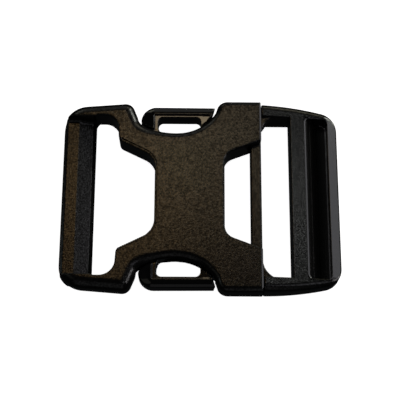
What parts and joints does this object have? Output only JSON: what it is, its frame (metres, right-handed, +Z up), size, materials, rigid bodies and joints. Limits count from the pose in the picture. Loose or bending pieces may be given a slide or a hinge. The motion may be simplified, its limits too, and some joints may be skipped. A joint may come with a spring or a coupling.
{
  "type": "side-release buckle",
  "caption": "Fastened flat side-release buckle: an X-shaped socket with a webbing bar, and a plug with squeeze tabs and a slotted webbing adjuster.",
  "frame": {"origin": "on the rest plane under the middle of the buckle", "axes": "+X from the socket's webbing bar to the plug's end bar, +Y across the webbing, +Z up"},
  "size_m": [0.0644, 0.0462, 0.0078],
  "materials": {
    "socket": "black moulded plastic with a fine grain",
    "plug": "black moulded plastic with a fine grain"
  },
  "bodies": {
    "root": {"socket": "socket", "plug": "plug"}
  },
  "joints": []
}
